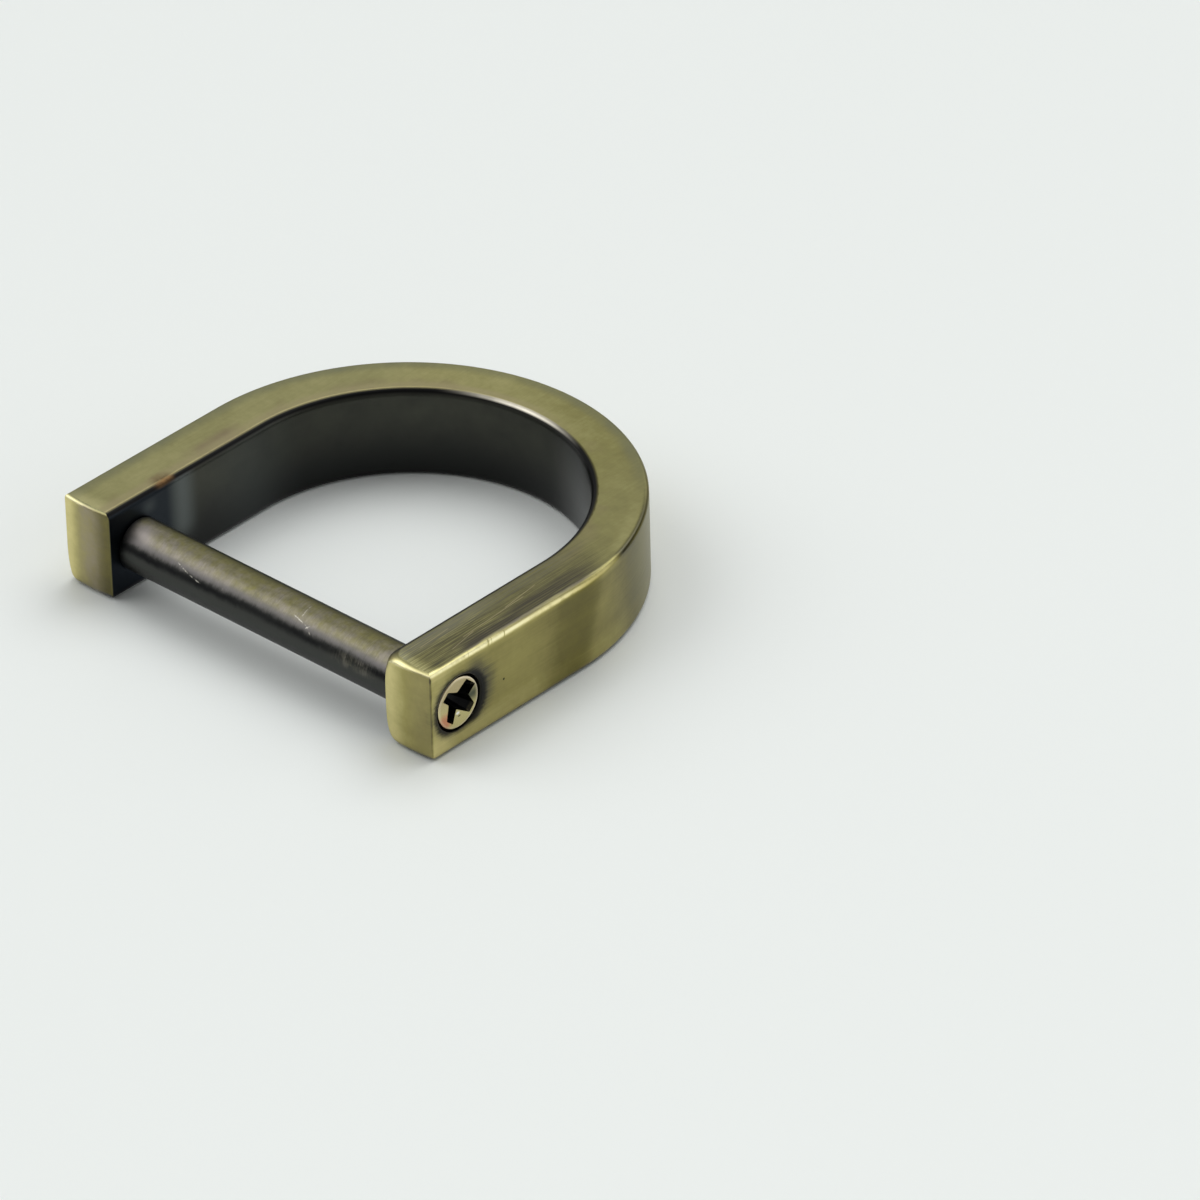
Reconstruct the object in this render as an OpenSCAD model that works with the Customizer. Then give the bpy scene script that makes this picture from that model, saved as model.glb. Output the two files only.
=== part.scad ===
// Horseshoe D ring with a removable screw bar, lying flat on one face.
// X runs along the bar towards its head, Y from the leg ends to the arc, Z up from the flat face.

/* [Ring] */
// Clear width between the legs, as for a 25 mm strap
inner_w = 25; // [16:0.5:40]
// Thickness of the straight legs
leg_t = 4.1; // [3.8:0.05:6]
// Thickness of the band at the crown of the arc
crown_t = 3.65; // [3.2:0.05:6]
// Height of the band above the flat face
band_h = 6.7; // [6:0.1:10]
// Length of the legs, from the centre of the outer arc to their ends
leg_l = 14.4; // [8:0.1:30]

/* [Rounding] */
// Radius of the long outer edges
outer_edge_r = 0.4; // [0.1:0.05:1]
// Radius of the long inner edges
inner_edge_r = 0.5; // [0.1:0.05:1]
// Radius of the upright corners where the ends meet the outer faces
outer_corner_r = 0.15; // [0.05:0.05:1]
// Radius of the upright corners where the ends meet the inner faces
inner_corner_r = 0.7; // [0.05:0.05:1.5]
// Radius of the top and bottom edges of the ends
end_edge_r = 0.25; // [0.05:0.05:0.8]
// How far the middle of each end stands out beyond its corners
end_crown = 0.15; // [0.05:0.05:0.4]

/* [Screw bar] */
// Diameter of the bar, the same from its head to its shoulder
bar_d = 3.75; // [3.4:0.05:4.5]
// Distance from the bar's axis to the leg ends
bar_inset = 2.75; // [2.6:0.05:6]
// How far the head lies below the face of its leg
head_depth = 0.08; // [0.05:0.01:1]
// Chamfer round the head and round the shoulder
head_chamfer = 0.15; // [0.05:0.05:0.2]
// Outside diameter of the threaded tip
tip_d = 2.9; // [1.8:0.1:2.9]
// Length of the threaded tip beyond the shoulder
tip_l = 2.3; // [1.5:0.1:2.3]
// Chamfer at the tip's end
tip_chamfer = 0.3; // [0.1:0.05:0.4]

/* [Cross recess] */
// Width across the arms of the cross
recess_w = 2.9; // [1.5:0.1:2.9]
// Width of each arm
recess_slot = 0.65; // [0.3:0.05:0.8]
// Depth of the cross
recess_depth = 1.5; // [0.5:0.1:2.5]
// Slope of the arms' outer ends, from the axis
recess_slope = 20; // [0:1:25]
// Turn of the cross about the bar's axis
recess_turn = 48; // [0:1:90]

/* [Fits] */
// Radial clearance of the bar in its leg
bar_gap = 0.15; // [0.05:0.05:0.3]
// Radial clearance of the tip in its hole
tip_gap = 0.05; // [0.05:0.05:0.1]
// Clearance between the shoulder and the far leg
shoulder_gap = 0.05; // [0.02:0.01:0.2]
// Free depth past the end of the tip
tip_end_gap = 0.2; // [0.1:0.05:0.3]
// Chamfer round the mouths of the holes
mouth_chamfer = 0.12; // [0.05:0.01:0.3]

/* [Hidden] */
$fn = 96;

brass = [0.56, 0.52, 0.33];
dark_brass = [0.42, 0.40, 0.30];

over = 1;                                    // how far a cut runs past the metal
corner_steps = 6;                            // straight steps in a rounded corner
drill_point = 59;                            // half the angle of a drilled hole's end
inner_r = inner_w / 2;
outer_r = inner_r + leg_t;
inner_y = outer_r - crown_t - inner_r;       // centre of the inner arc, from that of the outer one
arc_y = (leg_l - outer_r) / 2;               // puts the middle of the ring's depth at the origin
bar_y = -leg_l + bar_inset;
bar_z = band_h / 2;
bar_r = bar_d / 2;
tip_r = tip_d / 2;
leg_x = inner_r + leg_t / 2;
crown_r = (pow(leg_t / 2, 2) + pow(end_crown, 2)) / (2 * end_crown);
bar_start = -inner_r + shoulder_gap;
bar_end = outer_r - head_depth;

function arc_points(centre, r, from, to) = [
    for (i = [0 : corner_steps])
        let (a = from + (to - from) * i / corner_steps)
            centre + r * [cos(a), sin(a)]
];

// Centre of a corner circle of radius r that touches a leg's side and the crowned end.
function corner_centre(side, r) =
    let (dx = side * (leg_t / 2 - r))
        [leg_x + dx, -leg_l + crown_r - sqrt(pow(crown_r - r, 2) - dx * dx)];

// Direction in which a corner circle touches the crowned end.
function touch_angle(centre) =
    atan2(centre[1] + leg_l - crown_r, centre[0] - leg_x) + 360;

// Half of the band's outer section, from the middle plane to the rounded outer face.
module outline_section() {
    polygon(concat(
        [[0, band_h], [0, 0]],
        arc_points([outer_r - outer_edge_r, outer_edge_r], outer_edge_r, -90, 0),
        arc_points([outer_r - outer_edge_r, band_h - outer_edge_r], outer_edge_r, 0, 90)
    ));
}

// Half of the opening's section, which flares to round the band's inner edges.
module opening_section() {
    flare_x = inner_r + inner_edge_r;
    polygon(concat(
        [[0, band_h + over], [0, -over], [flare_x, -over]],
        arc_points([flare_x, inner_edge_r], inner_edge_r, 270, 180),
        arc_points([flare_x, band_h - inner_edge_r], inner_edge_r, 180, 90),
        [[flare_x, band_h + over]]
    ));
}

// Plan of a leg, which stands into the opening beside the arc and has a crowned end.
module leg_plan() {
    inner_corner = corner_centre(-1, inner_corner_r);
    outer_corner = corner_centre(1, outer_corner_r);
    polygon(concat(
        [[inner_r - over, 0], [inner_r - over, -leg_l / 2], [inner_r, -leg_l / 2]],
        arc_points(inner_corner, inner_corner_r, 180, touch_angle(inner_corner)),
        arc_points([leg_x, crown_r - leg_l], crown_r, touch_angle(inner_corner), touch_angle(outer_corner)),
        arc_points(outer_corner, outer_corner_r, touch_angle(outer_corner), 360),
        [[outer_r, 0]]
    ));
}

// Side view of a leg, with the top and bottom edges of its end rounded.
module leg_side() {
    polygon(concat(
        [[over, band_h + over], [end_edge_r - leg_l, band_h + over]],
        arc_points([end_edge_r - leg_l, band_h - end_edge_r], end_edge_r, 90, 180),
        arc_points([end_edge_r - leg_l, end_edge_r], end_edge_r, 180, 270),
        [[end_edge_r - leg_l, -over], [over, -over]]
    ));
}

module along_bar(x) {
    translate([x, bar_y, bar_z]) rotate([0, 90, 0]) children();
}

module leg_blank() {
    intersection() {
        linear_extrude(band_h) leg_plan();
        rotate([90, 0, 0]) linear_extrude(leg_l + over) outline_section();
        translate([inner_r - 2 * over, 0, 0])
            rotate([90, 0, 90]) linear_extrude(leg_t + 3 * over) leg_side();
    }
}

module opening() {
    translate([0, inner_y, 0]) {
        rotate_extrude(angle = 180) opening_section();
        for (side = [0, 1])
            mirror([side, 0, 0])
                rotate([90, 0, 0]) linear_extrude(inner_y + leg_l + over) opening_section();
    }
}

// Clearance hole through the leg at the bar's head.
module bar_hole() {
    r = bar_r + bar_gap;
    along_bar(inner_r - over) cylinder(h = leg_t + 2 * over, r = r);
    along_bar(outer_r - mouth_chamfer)
        cylinder(h = 2 * mouth_chamfer, r1 = r, r2 = r + 2 * mouth_chamfer);
    along_bar(inner_r - mouth_chamfer)
        cylinder(h = 2 * mouth_chamfer, r1 = r + 2 * mouth_chamfer, r2 = r);
}

// Blind hole for the threaded tip, in the inner face of the other leg.
module tip_hole() {
    r = tip_r + tip_gap;
    depth = tip_l - shoulder_gap + tip_end_gap;
    along_bar(-inner_r - depth) cylinder(h = depth + over, r = r);
    along_bar(-inner_r - depth - r / tan(drill_point))
        cylinder(h = r / tan(drill_point), r1 = 0, r2 = r);
}

module ring_frame() {
    color(brass)
        translate([0, arc_y, 0])
            difference() {
                union() {
                    rotate_extrude(angle = 180) outline_section();
                    for (side = [0, 1])
                        mirror([side, 0, 0]) leg_blank();
                }
                opening();
                bar_hole();
                tip_hole();
            }
}

// Half section of the bar, turned about its axis, from the tip's end to the head.
module bar_section() {
    length = bar_end - bar_start;
    polygon([
        [0, -tip_l],
        [tip_r - tip_chamfer, -tip_l],
        [tip_r, tip_chamfer - tip_l],
        [tip_r, 0],
        [bar_r - head_chamfer, 0],
        [bar_r, head_chamfer],
        [bar_r, length - head_chamfer],
        [bar_r - head_chamfer, length],
        [0, length]
    ]);
}

// Cross recess, with arms that slope inwards with depth.
module cross_recess() {
    floor_r = recess_w / 2 - recess_depth * tan(recess_slope);
    intersection() {
        cylinder(h = recess_depth + over, r1 = floor_r, r2 = recess_w / 2 + over * tan(recess_slope));
        for (turn = [0, 90])
            rotate(recess_turn + turn)
                translate([-recess_w, -recess_slot / 2, 0])
                    cube([2 * recess_w, recess_slot, recess_depth + over]);
    }
}

module screw_bar() {
    color(dark_brass)
        translate([0, arc_y, 0])
            difference() {
                along_bar(bar_start) rotate_extrude() bar_section();
                along_bar(bar_end - recess_depth) cross_recess();
            }
}

ring_frame();
screw_bar();
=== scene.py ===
import math

import bmesh
import bpy
import numpy as np
from mathutils import Euler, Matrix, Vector


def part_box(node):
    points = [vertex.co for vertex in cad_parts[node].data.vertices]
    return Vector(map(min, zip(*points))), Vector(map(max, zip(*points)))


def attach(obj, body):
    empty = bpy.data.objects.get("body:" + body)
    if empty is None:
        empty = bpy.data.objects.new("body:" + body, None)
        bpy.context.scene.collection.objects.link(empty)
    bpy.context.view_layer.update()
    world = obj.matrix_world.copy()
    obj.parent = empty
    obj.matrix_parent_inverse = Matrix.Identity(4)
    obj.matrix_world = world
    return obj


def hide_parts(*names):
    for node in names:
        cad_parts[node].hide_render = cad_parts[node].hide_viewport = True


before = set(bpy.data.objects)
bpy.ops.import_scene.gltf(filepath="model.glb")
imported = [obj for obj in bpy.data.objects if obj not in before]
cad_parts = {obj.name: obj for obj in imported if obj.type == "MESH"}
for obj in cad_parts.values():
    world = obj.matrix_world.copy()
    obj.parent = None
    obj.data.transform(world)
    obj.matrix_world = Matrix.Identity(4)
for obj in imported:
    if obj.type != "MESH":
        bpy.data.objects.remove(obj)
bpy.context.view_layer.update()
mm = 0.001  # shapes below are worked out in millimetres and stored in metres
weldGap = 0.0002  # points nearer to each other than this, in millimetres, become one


def boxOf(node):  # lowest and highest corner of a CAD node, in millimetres
    low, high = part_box(node)
    return np.array(low) / mm, np.array(high) / mm


ringLow, ringHigh = boxOf("ring_frame")
barLow, barHigh = boxOf("screw_bar")
bandH = ringHigh[2]
outerR = (ringHigh[0] - ringLow[0]) / 2
arcY = ringHigh[1] - outerR  # centre of the outer arc
endY = ringLow[1]  # outermost point of the leg ends
barY, barZ = (barLow[1] + barHigh[1]) / 2, (barLow[2] + barHigh[2]) / 2
barR = (barHigh[2] - barLow[2]) / 2
print("frame loaded")


# Mesh tools

def smooth(low, high, value):  # 0 below low, 1 above high, a cubic step between
    t = np.clip((value - low) / (high - low), 0, 1)
    return t * t * (3 - 2 * t)


class Patchwork:
    # Gathers grids of points and welds the points that meet into one closed mesh. Each grid comes with its
    # two map values, its marks by name, and a mask where some of its faces are left out.
    def __init__(self, marks):
        self.marks = {name: [] for name in marks}
        self.points, self.maps, self.quads, self.count = [], [], [], 0

    def add(self, points, uv, marks, keep=None, flip=False):
        rows, cols = points.shape[:2]
        index = np.arange(rows * cols).reshape(rows, cols) + self.count
        quads = np.stack([index[:-1, :-1], index[:-1, 1:], index[1:, 1:], index[1:, :-1]], -1)
        quads = quads[keep] if keep is not None else quads.reshape(-1, 4)
        self.quads.append(quads[:, ::-1] if flip else quads)
        self.points.append(points.reshape(-1, 3))
        self.maps.append(np.stack(np.broadcast_arrays(*uv), -1).reshape(-1, 2))
        for name, values in self.marks.items():
            values.append(np.broadcast_to(marks.get(name, 0.0), (rows, cols)).reshape(-1))
        self.count += rows * cols

    def build(self, name, sharpAngle):
        mesh = bpy.data.meshes.new(name)
        quads = np.concatenate(self.quads)
        mesh.from_pydata((np.concatenate(self.points) * mm).tolist(), [], quads.tolist())
        uv = np.concatenate(self.maps)[quads.reshape(-1)]  # one map unit for each millimetre
        mesh.uv_layers.new(name="surfaceMap").data.foreach_set("uv", uv.reshape(-1))
        for markName, values in self.marks.items():
            layer = mesh.attributes.new(markName, "FLOAT", "POINT")
            layer.data.foreach_set("value", np.concatenate(values).astype(np.float32))
        welder = bmesh.new()
        welder.from_mesh(mesh)
        bmesh.ops.remove_doubles(welder, verts=welder.verts, dist=weldGap * mm)
        welder.to_mesh(mesh)
        welder.free()
        mesh.polygons.foreach_set("use_smooth", np.ones(len(mesh.polygons), bool))
        mesh.set_sharp_from_angle(angle=math.radians(sharpAngle))
        mesh.update()
        piece = bpy.data.objects.new(name, mesh)
        bpy.context.scene.collection.objects.link(piece)
        print(name, len(mesh.vertices), "vertices,", len(mesh.polygons), "faces")
        return piece


# Ring frame

ring = {
    "legT": 4.1, "crownT": 3.65,  # band thickness in the legs and at the crown
    "endCrown": 0.15,  # bulge of the end faces
    "sharpAngle": 50,  # degrees above which an edge is drawn sharp
    # radius of the long outer edge: at the near end, where its leg meets the arc, just past there, and from
    # the middle of the arc on
    "outerEdgeAtEnd": 0.34, "outerEdge": 0.5, "arcEdge": 0.24, "farEdge": 0.3,
    "edgeRun": 8,  # length of the near leg over which that radius grows
    "edgeTurns": (18, 34, 80),  # degrees of the arc where arcEdge is reached, and where it turns into farEdge
    "innerEdge": 0.5, "lowerEdge": 0.5, "endFoot": 0.62,  # inner edges, lower edges, and those of the ends
    "nearEndEdges": (0.52, 0.3), "farEndEdges": (0.22, 0.3),  # upper edge of an end, inner and outer side
    "endBlend": 0.8,  # share of the end's width over which that edge changes
    # upright corners: the near end's sharp outer one with its rounder foot, its barrel-shaped inner one, the
    # far end's with the foot of the outer one, and the least radius of any
    "sharpCorner": 0.06, "nearFoot": 0.75, "nearPower": 12, "barrelCorner": 1.4, "barrelPower": 4,
    "farCorner": 0.14, "farFoot": 0.95, "farPower": 3, "leastCorner": 0.02,
    "holeR": 2.025, "mouth": 0.12,  # clearance hole, and how far its mouth widens
    "mouthProfile": ((0, 1), (1 / 3, 0.25), (1, 0), (1.25, 0)),  # depth and widening as shares of the mouth
    "threadR": 1.5, "groove": 0.18, "pitch": 0.5, "threadDepth": 2.45, "drillPoint": 0.9,  # blind hole
    "threadInset": (0.04, 0.05), "threadStart": 0.3,  # from its mouth and its bottom, and where it is full
    "panel": 2.25, "margin": 0.35,  # half side of the square of wall round each hole, and the row beside it
    "edgeSteps": 7, "panelSteps": 24, "legSteps": 30, "arcSteps": 128, "cornerSteps": 8, "endSteps": 22,
    "threadSteps": 46, "guard": 0.03,
}
mapShift = {"flat": 60, "panel": 100, "bore": 40}  # keeps the maps of the ring's surfaces apart
innerR = outerR - ring["legT"]
innerY = arcY + outerR - ring["crownT"] - innerR
legX = innerR + ring["legT"] / 2
crownR = ((ring["legT"] / 2) ** 2 + ring["endCrown"] ** 2) / (2 * ring["endCrown"])


def levels(lowR, topR):
    # z, inset and lift of every level over edge radii: a quarter circle, upright rows, a quarter circle.
    # The inset is r(1 - cos a) and the height over the flat is r(1 - sin a). The lift is a over 90 degrees.
    n = ring["edgeSteps"]
    a = np.linspace(0, np.pi / 2, n + 1)[:, None]
    panel = barZ + np.linspace(-ring["panel"], ring["panel"], ring["panelSteps"] + 1)
    rows = np.concatenate([[panel[0] - ring["margin"]], panel, [panel[-1] + ring["margin"]]])
    rows = rows[:, None] + 0 * lowR
    z = np.vstack([lowR * (1 - np.sin(a[::-1])), lowR + ring["guard"] + 0 * topR, rows,
                   bandH - topR - ring["guard"] + 0 * lowR, bandH - topR * (1 - np.sin(a))])
    flat = np.zeros((len(rows) + 2, len(lowR)))
    inset = np.vstack([lowR * (1 - np.cos(a[::-1])), flat, topR * (1 - np.cos(a))])
    lift = np.vstack([-a[::-1] / (np.pi / 2) + 0 * lowR, flat, a / (np.pi / 2) + 0 * lowR])
    return z, inset, lift


def legChain(innerCorner, outerCorner, outerTop, endEdges):
    # The walls of one leg at +X, from the inner arc down, round its end and up to the outer arc.
    # A corner is the circle that touches the leg's face and the crowned end, for every level.
    steps = ring["cornerSteps"]
    panelY = barY + np.linspace(-ring["panel"], ring["panel"], ring["panelSteps"] + 1)
    lowR, endLow = ring["lowerEdge"], ring["endFoot"]
    endTop = {-1: endEdges[0], 1: endEdges[1]}

    def corner(side, radius, sideTop):
        f = np.linspace(0, 1, steps + 1)  # 0 on the leg's face, 1 on the end
        ones = np.ones(steps + 1)
        zSide, inSide, lift = levels(lowR * ones, sideTop * ones)
        zEnd, inEnd, _ = levels(endLow * ones, endTop[side] * ones)
        s, e = inSide[:, :1], inEnd[:, :1]  # insets of the leg's face and of the end
        c = np.maximum(radius((zSide[:, :1] + zEnd[:, :1]) / 2) - (s + e) / 2, ring["leastCorner"])
        dx = side * (ring["legT"] / 2 - s - c)
        cy = endY + crownR - np.sqrt((crownR - e - c) ** 2 - dx ** 2)
        touch = np.arctan2(cy - endY - crownR, dx) + 2 * np.pi
        start = 2 * np.pi if side > 0 else np.pi
        a = start + (touch - start) * f
        x, y = legX + dx + c * np.cos(a), cy + c * np.sin(a)
        z = zSide + (zEnd - zSide) * smooth(0, 1, f)
        return {"x": x, "y": y, "z": z, "lift": lift, "end": smooth(0, 1, f) + 0 * x,
                "touch": touch, "cy": cy}

    def legFace(side, topR, y1, tangent):
        upper = np.linspace(panelY[-1], y1, ring["legSteps"] + 1)[1:]
        nominal = np.concatenate([[endY], panelY, upper])
        z, inset, lift = levels(lowR + 0 * nominal, topR(nominal))
        y0 = np.maximum(panelY[0], tangent)
        t = (panelY - panelY[0]) / (panelY[-1] - panelY[0])
        y = np.hstack([tangent, y0 + t * (panelY[-1] - y0), upper + 0 * tangent])
        x = legX + side * (ring["legT"] / 2 - inset)
        return {"x": x, "y": y, "z": z, "lift": lift, "end": 0 * x}

    inner = corner(-1, innerCorner, ring["innerEdge"])
    outer = corner(1, outerCorner, float(outerTop(np.array([endY]))[0]))
    a = acrossShares()
    endEdge = endTop[-1] + (endTop[1] - endTop[-1]) * smooth(0, ring["endBlend"], a)
    z, e, lift = levels(endLow + 0 * a, endEdge)
    turn = inner["touch"] + (outer["touch"] - inner["touch"]) * a
    end = {"x": legX + (crownR - e) * np.cos(turn), "y": endY + crownR + (crownR - e) * np.sin(turn),
           "z": z, "lift": lift, "end": 1 + 0 * turn}
    innerFace = legFace(-1, lambda y: ring["innerEdge"] + 0 * y, innerY, inner["cy"])
    outerFace = legFace(1, outerTop, arcY, outer["cy"])

    def back(part):  # the same part, walked the other way
        return {k: v[:, ::-1] for k, v in part.items() if k not in ("touch", "cy")}

    chain = zip([back(innerFace), inner, end, back(outer), outerFace], [1, 1, 0, 0, 0])
    return [{**part, "inner": isInner * (1 - part["end"])} for part, isInner in chain]


def arcPart(radius, centreY, outward, topR):
    # Upright faces of the half ring: (R cos a, R sin a), with R moved by the inset of each level.
    a = np.linspace(0, np.pi, ring["arcSteps"] + 1)
    z, inset, lift = levels(ring["lowerEdge"] + 0 * a, topR + 0 * a)
    r = radius - outward * inset
    return {"x": r * np.cos(a), "y": centreY + r * np.sin(a), "z": z, "lift": lift, "end": 0 * z,
            "inner": (1 - outward) / 2 + 0 * z}


def mirrored(parts):  # the same walls at -X, walked the same way round the ring
    return [{k: (-v[:, ::-1] if k == "x" else v[:, ::-1]) for k, v in p.items() if k not in ("touch", "cy")}
            for p in reversed(parts)]


def joined(parts, key):
    return np.hstack([p[key] for p in parts])


def wallMarks(parts):
    # inner, top, end and under tell the faces apart. edge is 0 on the wall, 1 on the top's outer rim and 2 on
    # its inner one, across is the share of the way to the opening, and brink the rounding down into it.
    lift, inner, end = joined(parts, "lift"), joined(parts, "inner"), joined(parts, "end")
    top = np.clip(lift, 0, 1)
    onTop = smooth(0.3, 0.9, top)
    return {"inner": inner * (1 - smooth(0.8, 1.0, top)), "top": onTop * (1 - 0.4 * inner),
            "end": end * (1 - onTop), "edge": np.where(top > 0, top * (1 - inner) + 2 * inner, 0),
            "under": np.clip(-lift, 0, 1), "across": inner, "brink": inner * top}


def footed(corner, foot, power):
    # The radius of an upright corner by height: corner + foot * s^power. s is 1 at the floor and 0 from
    # half way up.
    return lambda z: corner + foot * np.clip(1 - z / (bandH / 2), 0, 1) ** power


def barrel(z):
    # The near end's inner corner, from sharp half way up to the barrel's radius by s^power, where s runs from
    # -1 at the floor to 1 at the top and the power is even.
    s = z / (bandH / 2) - 1
    return ring["sharpCorner"] + (ring["barrelCorner"] - ring["sharpCorner"]) * s ** ring["barrelPower"]


def nearEdge(y):  # radius of the long outer edge along the near leg
    grown = smooth(endY, endY + ring["edgeRun"], y)
    return ring["outerEdgeAtEnd"] + (ring["outerEdge"] - ring["outerEdgeAtEnd"]) * grown


def arcEdges():  # and along the arc, from the near leg on
    turn = np.linspace(0, 180, ring["arcSteps"] + 1)
    reached, leaves, done = ring["edgeTurns"]
    return (ring["outerEdge"] + (ring["arcEdge"] - ring["outerEdge"]) * smooth(0, reached, turn)
            + (ring["farEdge"] - ring["arcEdge"]) * smooth(leaves, done, turn))


def edgeRow(parts, numbers, level, step=1):
    # The flat's edge at one level along some of the walls. Step -1 walks each of them the other way.
    rows = [np.stack([parts[i]["x"][level], parts[i]["y"][level]], -1) for i in numbers]
    return np.concatenate([row[::step] for row in rows])


def ringShell():
    shell = Patchwork(["inner", "top", "end", "edge", "under", "across", "brink", "bore"])
    nearCorner = footed(ring["sharpCorner"], ring["nearFoot"], ring["nearPower"])
    farCorner = footed(ring["farCorner"], ring["farFoot"], ring["farPower"])
    near = legChain(barrel, nearCorner, nearEdge, ring["nearEndEdges"])
    far = mirrored(legChain(footed(ring["farCorner"], 0, 1), farCorner, lambda y: ring["farEdge"] + 0 * y,
                            ring["farEndEdges"]))
    arcOut = arcPart(outerR, arcY, 1, arcEdges())
    arcIn = {k: v[:, ::-1] for k, v in arcPart(innerR, innerY, -1, ring["innerEdge"]).items()}
    # Walls 0 to 4 are the near leg's, 5 is the outer arc, 6 to 10 are the far leg's and 11 is the inner arc.
    parts = near + [arcOut] + far + [arcIn]
    x, y, z = (joined(parts, k) for k in "xyz")
    middle = x.shape[0] // 2
    path = np.concatenate([[0], np.cumsum(np.hypot(np.diff(x[middle]), np.diff(y[middle])))])
    # The squares that the holes' panels fill are left out of the walls.
    keep = np.ones((x.shape[0] - 1, x.shape[1] - 1), bool)
    row, n = ring["edgeSteps"] + 3, ring["panelSteps"]
    starts = np.concatenate([[0], np.cumsum([p["x"].shape[1] for p in parts])])
    for column in (starts[0] + ring["legSteps"], starts[4] + 1, starts[10] + 1):
        keep[row:row + n, column:column + n] = False
    shell.add(np.stack([x, y, z], -1), (path, z), wallMarks(parts), keep=keep)

    # Top and bottom: straight lines from the outer to the inner edge, moved to meet both ends.
    v = acrossShares()
    topMarks = {"top": 1.0, "across": v, "edge": 1 + v, "brink": smooth(0.97, 1, v)}
    for level, flip, mark in ((-1, True, topMarks), (0, False, {"under": 1.0, "across": v})):
        outer = edgeRow(parts, (3, 4, 5, 6, 7), level)
        inner = edgeRow(parts, (1, 0, 11, 10, 9), level, -1)
        nearEnd, farEnd = edgeRow(parts, [2], level, -1), edgeRow(parts, [8], level)
        lines = outer[:, None] * (1 - v[None, :, None]) + inner[:, None] * v[None, :, None]
        u = np.linspace(0, 1, len(outer))[:, None, None]
        grid = lines + (1 - u) * (nearEnd - lines[0]) + u * (farEnd - lines[-1])
        points = np.dstack([grid, np.full(grid.shape[:2], bandH if level else 0.0)])
        shell.add(points, (grid[..., 1], grid[..., 0] + mapShift["flat"]), mark, flip=flip)

    addHoles(shell)
    return shell


def acrossShares():  # shares across the band, with a narrow step at each side
    return np.concatenate([[0, 0.01, 0.03], np.linspace(0.06, 0.97, ring["endSteps"]), [0.99, 1]])


def addHoles(shell):
    # Square of wall to circle: each point of the square's edge moves along its own ray to the mouth.
    s, n = ring["panel"], ring["panelSteps"]
    run = np.linspace(-s, s, n + 1)[:-1]
    square = np.concatenate([np.stack([run, 0 * run - s], -1), np.stack([0 * run + s, run], -1),
                             np.stack([-run, 0 * run + s], -1), np.stack([0 * run - s, -run], -1)])
    square = np.vstack([square, square[:1]])
    angle = np.arctan2(square[:, 1], square[:, 0])
    ray = np.stack([np.cos(angle), np.sin(angle)], -1)
    share = np.array([0, 0.12, 0.4, 0.7, 0.9, 1.0])[:, None, None]

    def panel(x, mouthR):
        flat = square * (1 - share) + ray * mouthR * share
        return np.dstack([np.full(flat.shape[:2], x), flat])

    def circles(xs, radii):
        radii = np.broadcast_to(radii, (len(xs), len(ray)))
        return np.dstack([np.asarray(xs)[:, None] + 0 * radii, radii[..., None] * ray])

    def place(grid, bore, inner=0.0):
        grid = grid + np.array([0, barY, barZ])
        if np.ptp(grid[..., 0]) == 0:  # flat wall
            uv = (grid[..., 1] + mapShift["panel"], grid[..., 2])
        else:
            turn = np.linspace(0, 2 * np.pi, grid.shape[1])
            uv = (turn + 0 * grid[..., 0], grid[..., 0] + mapShift["bore"])
        shell.add(grid, uv, {"bore": bore, "inner": inner})

    # Clearance hole: a tube with a rounded mouth on either side.
    r, mouth = ring["holeR"], ring["mouth"]
    deep, wide = np.array(ring["mouthProfile"]).T * mouth
    tube = circles(np.concatenate([outerR - deep, innerR + deep[::-1]]),
                   r + np.concatenate([wide, wide[::-1]])[:, None])
    place(panel(outerR, r + mouth), 0.0)
    place(tube, np.array([0, 0.35, 1, 1, 1, 1, 1, 1])[:, None])
    place(panel(innerR, r + mouth)[::-1], 0.0, 1.0)

    # Threaded hole: the radius grows by a triangle wave of the way along and the turn, then a cone closes it.
    t, depth = ring["threadR"], ring["threadDepth"]
    first, last = ring["threadInset"]
    along = np.linspace(first, depth - last, ring["threadSteps"])
    phase = (along[:, None] / ring["pitch"] + np.unwrap(angle)[None, :] / (2 * np.pi)) % 1
    groove = ring["groove"] * (1 - np.abs(2 * phase - 1)) * smooth(0, ring["threadStart"], along)[:, None]
    bottom = np.linspace(0, 1, 5)
    place(panel(-innerR, t), 0.0, 1.0)
    place(circles(np.concatenate([[-innerR], -innerR - along]),
                  np.vstack([np.full((1, len(ray)), t), t + groove])), 1.0)
    end = circles([-innerR - along[-1]], (t + groove)[-1:])
    cone = circles(-innerR - depth - ring["drillPoint"] * bottom, t * (1 - bottom)[:, None])
    place(np.vstack([end, cone]), 1.0)


ringFrame = ringShell().build("ringFrame", ring["sharpAngle"])
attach(ringFrame, "ring")
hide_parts("ring_frame")
print("ring frame built")


# Screw bar

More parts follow.
